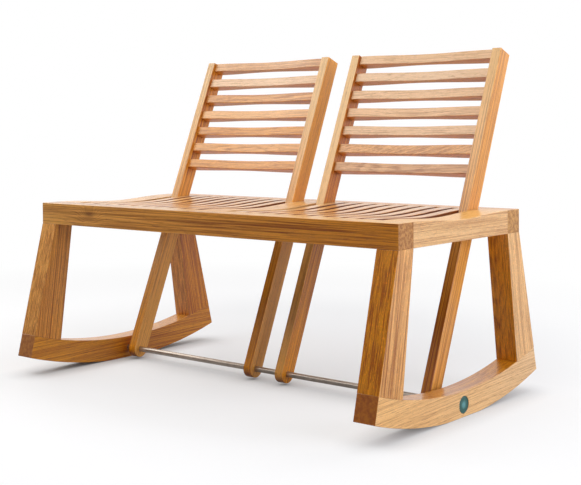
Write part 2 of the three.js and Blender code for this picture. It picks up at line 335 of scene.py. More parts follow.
def hollowOf(tree, place, reach, depth):
    # The height of a shallow hollow: minus depth in its middle, and 0 from reach outwards
    _, calc, times, _, _ = shortNames(tree)
    share = calc("DIVIDE", calc("ABSOLUTE", place), reach, clamp=True)
    wave = calc("ADD", calc("COSINE", times(share, math.pi)), 1.0)
    return times(times(wave, depth), -0.5)


def copiesOf(tree, shape, points, **placing):
    # Each copy has its number in the plank attribute
    inputs = {"Points": points.outputs[0], "Instance": shape.outputs[0], **placing}
    copies = addNode(tree, "GeometryNodeInstanceOnPoints", inputs)
    index = tree.nodes.new("GeometryNodeInputIndex").outputs[0]
    return addNode(tree, "GeometryNodeStoreNamedAttribute", {
        "Geometry": copies.outputs[0], "Name": "plank", "Value": index,
    }, data_type="INT", domain="INSTANCE")


def endShape(tree, shape, start, end):
    real = addNode(tree, "GeometryNodeRealizeInstances", {0: shape.outputs[0]}).outputs[0]
    wood = addNode(tree, "GeometryNodeSetMaterial", {"Geometry": real, "Material": start["Wood"]})
    tree.links.new(wood.outputs[0], end["Geometry"])


def grown(name, tree, values, look, edge):
    # An object that only its Geometry Nodes tree and the edge rounding shape
    piece = addObject(name, bpy.data.meshes.new(name))
    modifier = piece.modifiers.new("shape", "NODES")
    modifier.node_group = tree
    items = [item for item in tree.interface.items_tree if item.in_out == "INPUT"]
    sockets = {item.name: item.identifier for item in items}
    for label, value in {**values, "Wood": oak[look]}.items():
        modifier[sockets[label]] = value
    return eased(piece, edge)


# Oak. One group makes the figure for all the boards.

oakLabels = ("Ring Width", "Ring Contrast", "Wander", "Streaks", "Fine Lines", "Pores", "Rays",
             "End Shade")
oakLooks = {        # light wood, dark wood, oil, and the values that oakLabels names
    "oakRails": ((0.80, 0.38, 0.085), (0.26, 0.07, 0.004), 0.3,
                 (0.0028, 0.36, 0.012, 0.14, 0.60, 0.5, 0.3, 0.3)),
    "oakSideRails": ((0.80, 0.50, 0.24), (0.42, 0.165, 0.04), 0.35,
                     (0.0024, 0.3, 0.006, 0.1, 0.55, 0.6, 0.45, 0.3)),
    "oakSeatSlats": ((0.95, 0.51, 0.165), (0.17, 0.042, 0.005), 0.55,
                     (0.0028, 0.28, 0.01, 0.21, 0.32, 0.5, 0.25, 0.5)),
    "oakLegs": ((0.86, 0.45, 0.15), (0.34, 0.105, 0.012), 0.4,
                (0.0028, 0.34, 0.008, 0.14, 0.60, 0.7, 0.8, 0.5)),
    # End Shade of 1 on rockers and stiles darkens their ends past the wood's own end grain: painted
    # shade at the rocker ends and the stiles' feet near the floor
    "oakRockers": ((0.86, 0.50, 0.20), (0.40, 0.14, 0.03), 0.4,
                   (0.0024, 0.3, 0.007, 0.08, 0.45, 0.6, 0.4, 1)),
    "oakStiles": ((0.84, 0.435, 0.12), (0.35, 0.112, 0.012), 0.35,
                  (0.0028, 0.36, 0.008, 0.12, 0.54, 0.45, 0.3, 1)),
    "oakBackSlats": ((0.88, 0.49, 0.21), (0.42, 0.155, 0.04), 0.4,
                     (0.0026, 0.34, 0.008, 0.2, 0.46, 0.45, 0.3, 0.6)),
}
railKnot = {"Knot": (2.614, 0.0865, 0.0091), "Knot Size": 0.016}
figure = {
    "quickWander": 0.0022,
    "taper": 0.006,             # how much wider the rings get for each metre along the log
    "noKnot": (0, 0, 9),        # a place that is far from every board
    "knotSize": 0.02,
    "knotStretch": (0.5, 1, 1),
    "knotPush": 0.9,
    "knotShare": 0.75,
    "yearShades": (0.9, 0.35),  # how much the years differ, and the least contrast of a year
    "poresByRing": (0.75, 0.25),
    "rayScales": (170.0, 90.0, 110.0),
    "cloudShade": 0.35,
    "linesAtEnds": -0.8,
    "mottleAtEnds": 0.4,
    "shadeAtEnds": 0.28,
    "rough": 0.31,
    "roughPores": 0.26,
    "roughStreaks": 0.07,
    "roughEnds": 0.16,
    "fibreHeight": 0.30,
    "ringHeight": -0.20,
}
# For each noise: scale along the board and across it, detail and roughness, and where it is to
# be spread, the values that become 0 and 1
noises = {
    "slow": (2.2, 16, 2.0, 0.55),
    "quick": (11, 120, 2.0, 0.55),
    "streak": (2.0, 150, 4.0, 0.60, 0.36, 0.66),
    "fineLine": (3.2, 270, 4.0, 0.66, 0.42, 0.60),
    "fibre": (26, 1300, 2.0, 0.55),
    "pore": (48, 760, 2.0, 0.55, 0.52, 0.64),
    "cloud": (1.6, 9, 2.0, 0.55),
    "mottle": (40, 110, 3.0, 0.55, 0.38, 0.62),
}
raySpread = (0.56, 0.68)
ringShades = {0.0: 0.45, 1.0: 0.35, 0.10: 1.0, 0.34: 0.62, 0.58: 0.12, 0.86: 0.0}
tints = {
    "rays": (1.42, 1.32, 1.1, 1),
    "pores": (0.42, 0.25, 0.12, 1),
    "knot": (0.30, 0.19, 0.11, 1),
    "ends": (0.58, 0.42, 0.24, 1),
    "tan": (1.02, 0.775, 0.10, 1),
    "pale": (0.98, 1.16, 1.60, 1),
}


def makeOakFigure():
    inputs = {label: ("Float", None) for label in ("Tone", "Depth", "End Grain", *oakLabels)}
    inputs.update({
        "Grain": ("Vector", None), "Knot": ("Vector", figure["noKnot"]),
        "Knot Size": ("Float", figure["knotSize"]), "Light Wood": ("Color", None),
        "Dark Wood": ("Color", None),
    })
    outputs = {"Color": ("Color", None), "Roughness": ("Float", None), "Height": ("Float", None)}
    tree, start, end = newTree("oakFigure", "ShaderNodeTree", inputs, outputs)
    node, calc, times, timesPlus, vector = shortNames(tree)
    grain = start["Grain"]
    along, acrossA, acrossB = node("ShaderNodeSeparateXYZ", {0: grain}).outputs

    def noise(word):
        lengthwise, across, detail, roughness, *limits = noises[word]
        stretched = vectorMaths(tree, "MULTIPLY", grain, (lengthwise, across, across))
        value = noiseOf(tree, stretched, 1.0, detail, roughness)
        return between(tree, value, *limits) if limits else value

    def centred(value):
        return calc("SUBTRACT", value, 0.5)

    # Distance from the pith, in rings, bent by slow and quick wander and pushed aside by the knot
    slow = times(centred(noise("slow")), start["Wander"])
    quick = times(centred(noise("quick")), figure["quickWander"])
    toKnot = vectorMaths(tree, "SUBTRACT", grain, start["Knot"])
    toKnot = vectorMaths(tree, "MULTIPLY", toKnot, figure["knotStretch"])
    inKnots = calc("DIVIDE", vectorMaths(tree, "LENGTH", toKnot), start["Knot Size"])
    knot = calc("EXPONENT", times(times(inKnots, inKnots), -1.0))
    fromPith = vectorMaths(tree, "LENGTH", vector(0.0, acrossA, acrossB))
    radius = calc("ADD", fromPith, calc("ADD", slow, quick))
    radius = timesPlus(along, figure["taper"], radius)
    radius = timesPlus(knot, times(start["Knot Size"], figure["knotPush"]), radius)
    rings = calc("DIVIDE", radius, start["Ring Width"])
    year = node("ShaderNodeTexWhiteNoise", {"W": calc("FLOOR", rings)}, noise_dimensions="1D")
    profile = node("ShaderNodeValToRGB", {0: calc("FRACT", rings)})
    elements = profile.color_ramp.elements
    for k, (place, level) in enumerate(ringShades.items()):
        element = elements[k] if k < 2 else elements.new(place)
        element.position, element.color = place, (level, level, level, 1)
    early = profile.outputs[0]
    ringShade = times(early, timesPlus(year.outputs["Value"], *figure["yearShades"]))

    # Long streaks, fine lines and fibres, open pores and the flecks of the rays
    streak, fineLine = noise("streak"), noise("fineLine")
    pore = times(noise("pore"), timesPlus(early, *figure["poresByRing"]))
    places = (along, calc("ARCTAN2", acrossB, acrossA), fromPith)
    rayPlace = vector(*[times(place, scale) for place, scale in zip(places, figure["rayScales"])])
    ray = between(tree, noiseOf(tree, rayPlace, 1.0, 1.0), *raySpread)

    # Colour
    lines = timesPlus(fineLine, start["Fine Lines"], times(streak, start["Streaks"]))
    lines = times(lines, timesPlus(start["End Grain"], figure["linesAtEnds"], 1.0))
    shade = timesPlus(ringShade, start["Ring Contrast"], lines)
    shade = timesPlus(centred(noise("cloud")), figure["cloudShade"], shade)
    shade = calc("ADD", shade, start["Depth"])
    endMottle = times(centred(noise("mottle")), start["End Grain"])
    shade = timesPlus(endMottle, figure["mottleAtEnds"], shade)
    shade = timesPlus(start["End Grain"], figure["shadeAtEnds"], shade)
    colour = blend(tree, shade, start["Light Wood"], start["Dark Wood"])
    poreShare = times(pore, start["Pores"])
    # Tone blends from tan to pale. Through the boards' per-side tones it paints light and shade:
    # pale for lit sides with sheen, tan for sides in shade.
    paler = timesPlus(start["Tone"], 0.5, 0.5)
    for share, tint in (
        (times(ray, start["Rays"]), tints["rays"]),
        (poreShare, tints["pores"]),
        (times(calc("POWER", knot, 3.0), figure["knotShare"]), tints["knot"]),
        (1.0, blend(tree, paler, tints["tan"], tints["pale"])),
        (times(start["End Grain"], start["End Shade"]), tints["ends"]),
    ):
        colour = blend(tree, share, colour, tint, "MULTIPLY")
    tree.links.new(colour, end["Color"])

    rough = timesPlus(poreShare, figure["roughPores"], figure["rough"])
    rough = timesPlus(streak, figure["roughStreaks"], rough)
    rough = timesPlus(start["End Grain"], figure["roughEnds"], rough)
    tree.links.new(rough, end["Roughness"])
    height = timesPlus(noise("fibre"), figure["fibreHeight"], times(early, figure["ringHeight"]))
    tree.links.new(calc("SUBTRACT", height, pore), end["Height"])
    return tree


oakFigure = makeOakFigure()


def makeOak(name, light, dark, oil, numbers):
    material, tree = newMaterial(name)
    values = {"Light Wood": (*light, 1), "Dark Wood": (*dark, 1), **dict(zip(oakLabels, numbers))}
    if name == "oakRails":
        values.update(railKnot)
    for label, attribute, output in (("Grain", "grain", "Vector"), ("Tone", "tone", "Fac"),
                                     ("Depth", "depth", "Fac"), ("End Grain", "endGrain", "Fac")):
        source = addNode(tree, "ShaderNodeAttribute", attribute_name=attribute)
        values[label] = source.outputs[output]
    oiled = addNode(tree, "ShaderNodeGroup", values, node_tree=oakFigure).outputs
    coat = {"IOR": 1.46, "Coat Weight": oil, "Coat Roughness": 0.17}
    endMaterial(tree, oiled["Color"], oiled["Roughness"], oiled["Height"], strength=0.5,
                depth=0.0004, **coat)
    return material


oak = {name: makeOak(name, *look) for name, look in oakLooks.items()}
print("oak materials made:", len(oak))


def finishOak(piece, look, body, *nodes):
    piece.data.materials.clear()
    piece.data.materials.append(oak[look])
    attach(piece, body)
    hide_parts(*nodes)


# Long rails, at the front and at the rear

# Per-side tones and depths, partly painted light and shade: the front rail's top is painted paler,
# more so to the right, for the sheen there
longRails = {
    "front": ((0, 0.052, -0.030), 3.0, (0.55, -0.25, 1), (0.2, -0.03, -0.16), (0, -0.95, 0),
              (0, 0.28, -0.68)),
    "rear": ((0, -0.045, 0.038), 12.0, (1, 0, 0), (0.10, 0, -0.15)),
}
railMiddle = seat["height"] - seat["rail"] / 2

for word, values in longRails.items():
    side = 1 if word == "rear" else -1
    outerY, innerY = middleY + side * seat["halfDepth"], middleY + side * innerReach
    low, high = sorted((outerY, innerY))
    outline = [(low, underRail), (high, underRail), (high, seat["height"]), (low, seat["height"])]
    piece = drawnOut(word + "_rail_timber", outline, -seat["halfWidth"], seat["halfWidth"])
    eased(piece, seat["edge"],
          joint=lambda co: near(abs(co.x), seat["halfWidth"]) and near(co.y, innerY))
    sawFrom(piece, [board((0, (outerY + innerY) / 2, railMiddle), (1, 0, 0), *values)])
    finishOak(piece, "oakRails", "frame", word + "_rail")
print("long rails made")

# Broad rails between them, with the dished top that the slats share

# Per-side tones and depths, partly painted light and shade
broadRails = {
    "left": ((0.020, 0, -0.060), 5.0, (0, 0, -0.2), (0.05, 0, -0.05)),
    "centre": ((-0.015, 0, -0.070), 8.0, (0, 0, -0.4), (0.05, 0, -0.05)),
    "right": ((-0.030, 0, -0.090), 21.0, (0.12, 0, -0.65), (0.07, 0, -0.55)),
}
dishSteps = 40


def dishDrop(y):
    share = min(1.0, abs(y) / seat["dishReach"])
    return seat["dishDepth"] * (1 + math.cos(math.pi * share)) / 2


for place, (word, values) in enumerate(broadRails.items(), -1):
    reach = innerReach - glueLine
    outline = [(middleY - reach, underRail), (middleY + reach, underRail),
               (middleY + reach, seat["height"])]
    for k in range(dishSteps + 1):
        y = seat["dishReach"] * (1 - 2 * k / dishSteps)
        outline.append((middleY + y, seat["height"] - dishDrop(y)))
    outline.append((middleY - reach, seat["height"]))
    middleX = place * (seat["halfWidth"] - seat["broadRail"] / 2)
    piece = drawnOut(word + "_rail_timber", outline,
                     middleX - seat["broadRail"] / 2, middleX + seat["broadRail"] / 2)
    eased(piece, seat["edge"], joint=lambda co: near(abs(co.y - middleY), reach))
    sawFrom(piece, [board((middleX, middleY, railMiddle), (0, 1, 0), *values)])
    finishOak(piece, "oakSideRails", "frame", word + "_rail")
print("broad rails made")

# Seat slats

seatSlats = {
    "Slats Per Half": 9,
    "First": 0.08125,    # middle of the slat next to the centre
    "Pitch": 0.04675,
    "Width": 0.0295,
    "Thickness": 0.028,
    "Length": 2 * (innerReach - glueLine),
    "Top": seat["height"],
    "Middle": middleY,
    "Dish Depth": seat["dishDepth"],
    "Dish Reach": seat["dishReach"],
    "Steps": 41,
}


def makeSeatSlatTree():
    tree, start, end = newShapeTree("seatSlatTree", seatSlats)
    node, calc, times, timesPlus, vector = shortNames(tree)
    size = (start["Width"], start["Length"], start["Thickness"])
    bar, place = barOf(tree, size, Y=start["Steps"])
    drop = hollowOf(tree, place[1], start["Dish Reach"], start["Dish Depth"])
    dished = node("GeometryNodeSetPosition", {
        "Geometry": bar, "Selection": calc("GREATER_THAN", place[2], 0.0),
        "Offset": vector(0.0, 0.0, drop),
    })
    points = node("GeometryNodeMeshLine", {"Count": times(start["Slats Per Half"], 2.0)})
    index = node("GeometryNodeInputIndex").outputs[0]
    row = calc("MODULO", index, start["Slats Per Half"])
    side = timesPlus(calc("LESS_THAN", index, start["Slats Per Half"]), -2.0, 1.0)
    across = times(timesPlus(row, start["Pitch"], start["First"]), side)
    level = timesPlus(start["Thickness"], -0.5, start["Top"])
    spread = node("GeometryNodeSetPosition", {
        "Geometry": points.outputs[0], "Position": vector(across, start["Middle"], level),
    })
    endShape(tree, copiesOf(tree, dished, spread), start, end)
    return tree


slats = grown("seat_slats", makeSeatSlatTree(), seatSlats, "oakSeatSlats", slatEdge)
# Painted shade in the gaps: the slats' sides are coloured darker and tan for the shade between the
# slats
slatLooks = {"seed": 11, "paintedGapShade": 0.8, "paintedGapTone": -1}      # the sides face the gaps
slatMiddle = seat["height"] - seatSlats["Thickness"] / 2
pick = random.Random(slatLooks["seed"])
slatBoards, slatNodes = [], []
for word, side in (("left", -1), ("right", 1)):
    for k in range(seatSlats["Slats Per Half"]):
        x = side * (seatSlats["First"] + k * seatSlats["Pitch"])
        slatBoards.append(randomBoard((x, middleY, slatMiddle), (0, 1, 0), pick))
        slatBoards[-1]["depth"].x = slatLooks["paintedGapShade"]
        slatBoards[-1]["tone"].x = slatLooks["paintedGapTone"]
        slatNodes.append("seat_slat_%s_%d" % (word, k + 1))
sawFrom(slats, slatBoards)
finishOak(slats, "oakSeatSlats", "frame", *slatNodes)
print("seat slats made:", len(slatBoards))

# Rockers

rockers = {
    "Radius": 1.120,
    "Flat Reach": 0.070,
    "Thickness": 0.060,
    "Width": 0.055,
    "Reach": 0.337,
    "Steps": 97,
    "Middle": middleY,
    "Place": 0.5475,        # of a rocker's middle, to either side
    "Rod Height": 0.027,
    "Bore Radius": 0.00725,
    "Pocket Radius": 0.0195,
    "Pocket Depth": 0.020,
}
arcCentre = math.sqrt(rockers["Radius"] ** 2 - rockers["Flat Reach"] ** 2)


def arcHeight(y, rise):
    return arcCentre + rise - math.sqrt(rockers["Radius"] ** 2 - y * y)


def slantThrough(topReach, topHeight, footReach, footHeight):
    run = (footReach - topReach) / (topHeight - footHeight)
    return run, topReach + run * topHeight


def slantMeetsArc(slant, rise):
    run, ground = slant
    centre = arcCentre + rise
    a = run * run + 1
    b = ground * run + centre
    c = ground * ground + centre * centre - rockers["Radius"] ** 2
    return ground - run * (b - math.sqrt(b * b - a * c)) / a


legs = {"innerFoot": 0.239, "steps": 14}
outerFoot = (rockers["Reach"], arcHeight(rockers["Reach"], 0))
innerFoot = (legs["innerFoot"], arcHeight(legs["innerFoot"], rockers["Thickness"]))
outerSlant = slantThrough(seat["halfDepth"], underRail, *outerFoot)
innerSlant = slantThrough(innerReach, underRail, *innerFoot)
rockers["Top Reach"] = slantMeetsArc(outerSlant, rockers["Thickness"])


def makeRockerTree():
    tree, start, end = newShapeTree("rockerTree", rockers)
    node, calc, times, timesPlus, vector = shortNames(tree)
    bar, place = barOf(tree, (start["Width"], 2.0, 2.0), Y=start["Steps"])
    onTop = calc("GREATER_THAN", place[2], 0.0)
    longer = calc("SUBTRACT", start["Top Reach"], start["Reach"])
    along = times(place[1], timesPlus(onTop, longer, start["Reach"]))
    squared = times(start["Radius"], start["Radius"])
    flat = times(start["Flat Reach"], start["Flat Reach"])
    centre = calc("SQRT", calc("SUBTRACT", squared, flat))
    depth = calc("SQRT", calc("SUBTRACT", squared, times(along, along)))
    arc = calc("SUBTRACT", centre, depth)
    sole = times(calc("SUBTRACT", 1.0, onTop), calc("MAXIMUM", arc, 0.0))
    level = calc("ADD", times(onTop, calc("ADD", arc, start["Thickness"])), sole)
    bent = node("GeometryNodeSetPosition", {
        "Geometry": bar, "Position": vector(place[0], along, level),
    })
    drilled = node("GeometryNodeMeshBoolean", {"Mesh 1": bent.outputs[0]}, operation="DIFFERENCE")
    # The drills for the rod and the cap are longer than the wood they go through
    for radius, length, x in (
        (start["Bore Radius"], times(start["Width"], 1.4), 0.0),
        (start["Pocket Radius"], times(start["Pocket Depth"], 2.0), times(start["Width"], 0.5)),
    ):
        drill = {"Vertices": roundSides, "Radius": radius, "Depth": length}
        drill = node("GeometryNodeMeshCylinder", drill).outputs["Mesh"]
        placed = node("GeometryNodeTransform", {
            "Geometry": drill, "Translation": vector(x, 0.0, start["Rod Height"]),
            "Rotation": (0, math.pi / 2, 0),
        })
        tree.links.new(placed.outputs[0], drilled.inputs["Mesh 2"])
    smooth = node("GeometryNodeSetShadeSmooth", {"Geometry": drilled.outputs[0]})
    ends = node("GeometryNodeMeshLine", {
        "Count": 2, "Start Location": vector(times(start["Place"], -1.0), start["Middle"], 0.0),
        "Offset": vector(times(start["Place"], 2.0)),
    })
    index = node("GeometryNodeInputIndex").outputs[0]
    turn = times(calc("SUBTRACT", 1.0, index), math.pi)
    pair = copiesOf(tree, smooth, ends, Rotation=vector(0.0, 0.0, turn))
    endShape(tree, pair, start, end)
    return tree


rockerPair = grown("rockers", makeRockerTree(), rockers, "oakRockers", seat["edge"])
rockerLevel = 0.05
# Per-side tones and depths with runs along each rocker, partly painted light and shade
rockerBoards = [
    board((-rockers["Place"], middleY, rockerLevel), (0, 1, 0.02), (-0.060, 0, -0.045), 2.0,
          (-1, -0.2, -0.8), (0.29, 0.04, 0.1), (0, 0, 0), (0.2, 0, 0)),
    board((rockers["Place"], middleY, rockerLevel), (0, 1, 0.035), (-0.060, 0, -0.045), 6.0,
          (0.4, -1, -1), (-0.09, 0.11, 0.23), (0.9, 0, 0), (0.3, 0, 0)),
]
sawFrom(rockerPair, rockerBoards)
finishOak(rockerPair, "oakRockers", "frame", "rocker_left", "rocker_right")
print("rockers made")

# Legs

# Per-side tones and depths, partly painted light and shade: sides that face the lamps paler, fronts
# in shade tan and darker
legBoards = {
    "front_right": ((-0.075, 0, 0), 1.0, (0.2, -1, 0), (0.13, 0.21, 0)),
    "front_left": ((-0.060, 0.035, 0), 4.0, (-0.6, -0.25, 0), (0, 0, 0)),
    "rear_right": ((-0.020, 0.080, 0), 7.5, (0.75, -1, 0), (-0.07, -0.21, 0)),
    "rear_left": ((-0.050, -0.060, 0), 9.0, (-1, -0.6, 0), (0.35, 0.05, 0)),
}
legSlopes = {"front_left": (0, 0.05, 0)}      # of the grain, against the leg's own line
legTop = underRail - glueLine
legSole = rockers["Thickness"] + glueLine
inner, outer = slantMeetsArc(innerSlant, legSole), slantMeetsArc(outerSlant, legSole)
foot, head = (inner + outer) / 2, innerReach + seat["rail"] / 2


def inLegJoint(co):
    return near(co.z, legTop) or near(co.z, arcHeight(abs(co.y - middleY), legSole))


for word, values in legBoards.items():
    end = 1 if word.startswith("rear") else -1
    side = 1 if word.endswith("right") else -1
    outline = []
    for k in range(legs["steps"] + 1):
        y = inner + (outer - inner) * k / legs["steps"]
        outline.append((middleY + end * y, arcHeight(y, legSole)))
    for run, ground in (outerSlant, innerSlant):
        outline.append((middleY + end * (ground - run * legTop), legTop))
    xs = sorted((side * seat["halfWidth"], side * (seat["halfWidth"] - seat["rail"])))
    piece = drawnOut("leg_%s_timber" % word, outline, *xs)
    eased(piece, seat["edge"], joint=inLegJoint)
    footHeight = arcHeight(foot, legSole)
    down = Vector((0, end * (foot - head), footHeight - legTop)).normalized()
    down += Vector(legSlopes.get(word, (0, 0, 0)))
    centre = (sum(xs) / 2, middleY + end * (foot + head) / 2, (legTop + footHeight) / 2)
    sawFrom(piece, [board(centre, down, *values)])
    finishOak(piece, "oakLegs", "frame", "leg_" + word)
print("legs made")

# Backs: stiles that go down through the seat to the rod, and the slats between them

backs = {
    "stileWidth": 0.025,
    "stileDepth": 0.045,
    "stileLength": 0.865,
    "stilePlaces": (0.0525, 0.484),
    "rodHeight": rockers["Rod Height"],
    "boreRadius": 0.0071,
    "bearingGap": 0.0003,
    "edge": 0.0013,
    "footSteps": 32,
    "boreSteps": 48,
}
toEdge = (innerReach, seat["height"] - backs["rodHeight"])
toRail = backs["stileDepth"] / 2 + backs["bearingGap"]
lean = math.atan2(*toEdge) - math.asin(toRail / math.hypot(*toEdge))
toBack = Matrix.Translation((0, middleY, backs["rodHeight"])) @ Matrix.Rotation(-lean, 4, "X")
# Per-side tones and depths with runs along each stile: painted shade under the seat, where the
# fronts are tan and darker towards the bottom and paler above it
stileBoards = {
    "left_inner": ((-0.070, 0.020, 0), 2.0, (-0.7, -0.15, 0), (-0.5, -0.2, -0.1),
                   (-0.9, 3.9, 0), (0, -0.68, 0)),
    "left_outer": ((-0.060, -0.030, 0), 5.0, (-0.68, 0.08, 0), (-0.08, -0.22, 0),
                   (-0.8, 2.4, 0), (0.68, 0, 0)),
    "right_inner": ((0.015, 0.070, 0), 8.0, (-1, 0.62, 0.5), (0.35, -0.45, 0),
                    (0, 2.1, 0), (0.68, 0, 0)),
    "right_outer": ((-0.050, 0.040, 0), 13.0, (-0.42, -0.28, 0), (0.08, -0.01, 0),
                    (-0.57, 2.4, 0), (0, -1.2, 0)),
}


def stileMesh(name, x):
    # Round foot about the rod's bore. Each side is two faces that meet on a line through the bore.
    reach, length = backs["stileDepth"] / 2, backs["stileLength"]
    footSteps, boreSteps = backs["footSteps"], backs["boreSteps"]
    foot = [math.pi + math.pi * k / footSteps for k in range(footSteps + 1)]
    outline = [(reach * math.cos(a), reach * math.sin(a)) for a in foot]
    outline += [(reach, length), (-reach, length)]
    bore = [2 * math.pi * k / boreSteps for k in range(boreSteps)]
    radius = backs["boreRadius"]
    circle = [(radius * math.cos(a), radius * math.sin(a)) for a in bore]
    points, faces = [], []
    for plane in (x - backs["stileWidth"] / 2, x + backs["stileWidth"] / 2):
        points += [(plane, y, z) for y, z in outline + circle]
    count, size = len(outline), len(outline) + boreSteps
    half = boreSteps // 2
    lower = list(range(footSteps + 1))
    lower += [count + k % boreSteps for k in range(boreSteps, half - 1, -1)]
    upper = [footSteps, footSteps + 1, footSteps + 2, 0]
    upper += [count + k for k in range(half, -1, -1)]
    for loop in (lower, upper):
        faces.append(tuple(loop))
        faces.append(tuple(size + k for k in reversed(loop)))
    for k in range(count):
        j = (k + 1) % count
        faces.append((j, k, size + k, size + j))
    for k in range(boreSteps):
        j = (k + 1) % boreSteps
        faces.append((count + k, count + j, size + count + j, size + count + k))
    return meshFrom(name, points, faces)


for word, values in stileBoards.items():
    half, place = word.split("_")
    side = 1 if half == "right" else -1
    x = side * backs["stilePlaces"][0 if place == "inner" else 1]
    piece = stileMesh("back_%s_%s_stile" % (half, place), x)
    eased(piece, backs["edge"])
    piece.data.transform(toBack)
    middle = toBack @ Vector((x, 0, backs["stileLength"] / 2))
    upward = toBack.to_3x3() @ Vector((0, 0, 1))
    sawFrom(piece, [board(middle, upward, *values)])
    finishOak(piece, "oakStiles", "back_" + half, "back_%s_stile_%s" % (half, place))
print("stiles made")

innerStile, outerStile = backs["stilePlaces"]
slatHeight = 0.0245
slatCount = 7
toSeat = (seat["height"] - backs["rodHeight"]) / math.cos(lean)
seatGap = 0.0838            # from the seat's level up to the lowest slat, along the stile
topSlat = backs["stileLength"] - slatHeight / 2
lowestSlat = toSeat + seatGap + slatHeight / 2
backSlats = {
    "Count": slatCount,
    "Height": slatHeight,
    "Thickness": 0.029,
    "Length": outerStile - innerStile - backs["stileWidth"] - 2 * glueLine,
    "Scoop": 0.007,
    "End Flat": 0.006,
    "Top": topSlat,
    "Pitch": (topSlat - lowestSlat) / (slatCount - 1),
    "Lean": lean,
    "Middle": middleY,
    "Rod Height": backs["rodHeight"],
    "Place": 0.0,           # of the back's middle, given below for each back
    "Steps": 49,
}
backSlatBoards = {
    # Painted shade: the faces above and below get a tan tone for the warm shade that they lie in
    "paintedUnderTone": -0.9,      # of the faces above and below
    "paintedUnderDepth": -0.2,
    "seed": 5,
    "left": {
        "tones": (0.25, 1, -0.35, 0, -0.7, -0.35, -0.55),
        "depths": (0.05, -0.4, 0.05, -0.3, 0.03, -0.07, -0.03),
        "slopes": (0, 0, 0.05, 0, 0, 0.02, 0),
    },
    "right": {
        "tones": (0.75, 1, 0.7, 0.6, 0.85, -0.15, 0.35),
        "depths": (-0.33, -0.45, -0.38, -0.3, -0.23, 0.05, 0.1),
        "slopes": (0.01, 0, 0.02, 0, 0, 0.30, 0.04),
    },
}


def makeBackSlatTree():
    tree, start, end = newShapeTree("backSlatTree", backSlats)
    node, calc, times, _, vector = shortNames(tree)
    size = (start["Length"], start["Thickness"], start["Height"])
    bar, place = barOf(tree, size, X=start["Steps"])
    reach = calc("SUBTRACT", times(start["Length"], 0.5), start["End Flat"])
    scoop = hollowOf(tree, place[0], reach, start["Scoop"])
    inward = times(calc("SIGN", place[1]), scoop)
    scooped = node("GeometryNodeSetPosition", {"Geometry": bar, "Offset": vector(0.0, inward)})
    points = node("GeometryNodeMeshLine", {
        "Count": start["Count"], "Start Location": vector(0.0, 0.0, start["Top"]),
        "Offset": vector(0.0, 0.0, times(start["Pitch"], -1.0)),
    })
    leaning = node("GeometryNodeTransform", {
        "Geometry": copiesOf(tree, scooped, points).outputs[0],
        "Translation": vector(start["Place"], start["Middle"], start["Rod Height"]),
        "Rotation": vector(times(start["Lean"], -1.0)),
    })
    endShape(tree, leaning, start, end)
    return tree


backSlatTree = makeBackSlatTree()
pick = random.Random(backSlatBoards["seed"])
for half, side in (("left", -1), ("right", 1)):
    place = side * sum(backs["stilePlaces"]) / 2
    values = {**backSlats, "Place": place}
    piece = grown("back_%s_slats" % half, backSlatTree, values, "oakBackSlats", slatEdge)
    looks, boards = backSlatBoards[half], []
    for k in range(slatCount):
        centre = toBack @ Vector((place, 0, topSlat - k * backSlats["Pitch"]))
        boards.append(randomBoard(centre, (1, 0, looks["slopes"][k]), pick))
        boards[-1]["tone"] = Vector((0, looks["tones"][k], backSlatBoards["paintedUnderTone"]))
        boards[-1]["depth"] = Vector((0, looks["depths"][k], backSlatBoards["paintedUnderDepth"]))
    sawFrom(piece, boards)
    names = ["back_%s_slat_%d" % (half, k + 1) for k in range(slatCount)]
    finishOak(piece, "oakBackSlats", "back_" + half, *names)
print("back slats made")

# Rod with its washers and nuts, and the caps over them

def makePlain(name, look):
    # Metal whose fine lines or mottling change its colour and gloss
    material, tree = newMaterial(name)
    place = tree.nodes.new("ShaderNodeTexCoord").outputs["Object"]
    scaled = addNode(tree, "ShaderNodeMapping", {"Vector": place, "Scale": look["scale"]})
    lines = noiseOf(tree, scaled.outputs[0], 1.0, 4.0, 0.6)
    broad = noiseOf(tree, place, look["broad"], 2.0)
    mixed = maths(tree, "MULTIPLY_ADD", maths(tree, "SUBTRACT", broad, 0.5), 0.9, lines)
    colour = blend(tree, mixed, (*look["dark"], 1), (*look["light"], 1))
    low, high = look["roughness"]
    rough = addNode(tree, "ShaderNodeMapRange", {0: mixed, 1: 0.3, 2: 0.7, 3: low, 4: high})
    endMaterial(tree, colour, rough.outputs[0], lines, look["bump"], depth=0.0001,
                Metallic=look["metallic"])
    return material


rodSteel = makePlain("brushedRodSteel", {
    "scale": (9, 1400, 1400), "broad": 60, "dark": (0.30, 0.26, 0.22), "light": (0.66, 0.58, 0.51),
    "roughness": (0.30, 0.46), "bump": 0.25, "metallic": 0.85,
})
nutSteel = makePlain("platedNutSteel", {
    "scale": (500, 500, 500), "broad": 120, "dark": (0.38, 0.37, 0.35), "light": (0.62, 0.60, 0.56),
    "roughness": (0.30, 0.46), "bump": 0.15, "metallic": 1.0,
})
capLook = {
    "middle": 0.0015,
    "edge": 0.0130,
    "dark": (0.028, 0.100, 0.082, 1),
    "light": (0.120, 0.320, 0.330, 1),
    "mottle": 320.0,
    "turning": 2600.0,
}


